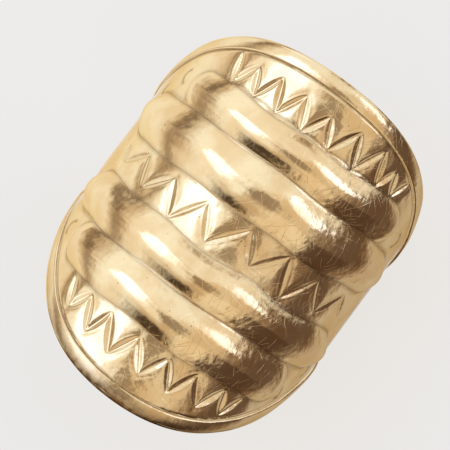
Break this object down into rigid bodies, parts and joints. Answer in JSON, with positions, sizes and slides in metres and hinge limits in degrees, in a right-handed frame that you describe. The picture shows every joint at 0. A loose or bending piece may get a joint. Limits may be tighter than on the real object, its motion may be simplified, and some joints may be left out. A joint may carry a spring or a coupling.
{
  "type": "ring thimble",
  "caption": "Open ring thimble of gold sheet: a long ribbed shield in front of the finger, engraved zigzags, edge rims, and a narrow strap behind.",
  "frame": {"origin": "under the middle of the thimble, on the surface that the flat of its back strap rests on", "axes": "+Y along the finger towards the fingertip, +Z from the back strap towards the shield, +X across the finger"},
  "size_m": [0.0188, 0.025, 0.0193],
  "materials": {
    "sheet_gold": "worn soft polish on hand-worked gold sheet, with fine hairline scratches and small pits; brass stands in for gold",
    "rib_gold": "rubbed bright along the crests, with fine scratches; brass stands in for gold",
    "rim_gold": "smooth worn polish; brass stands in for gold",
    "strap_gold": "satin, filed and worn flat at the back; brass stands in for gold"
  },
  "bodies": {
    "root": {"shield_sheet": "sheet_gold", "rib_1": "rib_gold", "rib_2": "rib_gold", "rib_3": "rib_gold", "rib_4": "rib_gold", "upper_rim": "rim_gold", "lower_rim": "rim_gold", "back_strap": "strap_gold"}
  },
  "joints": []
}
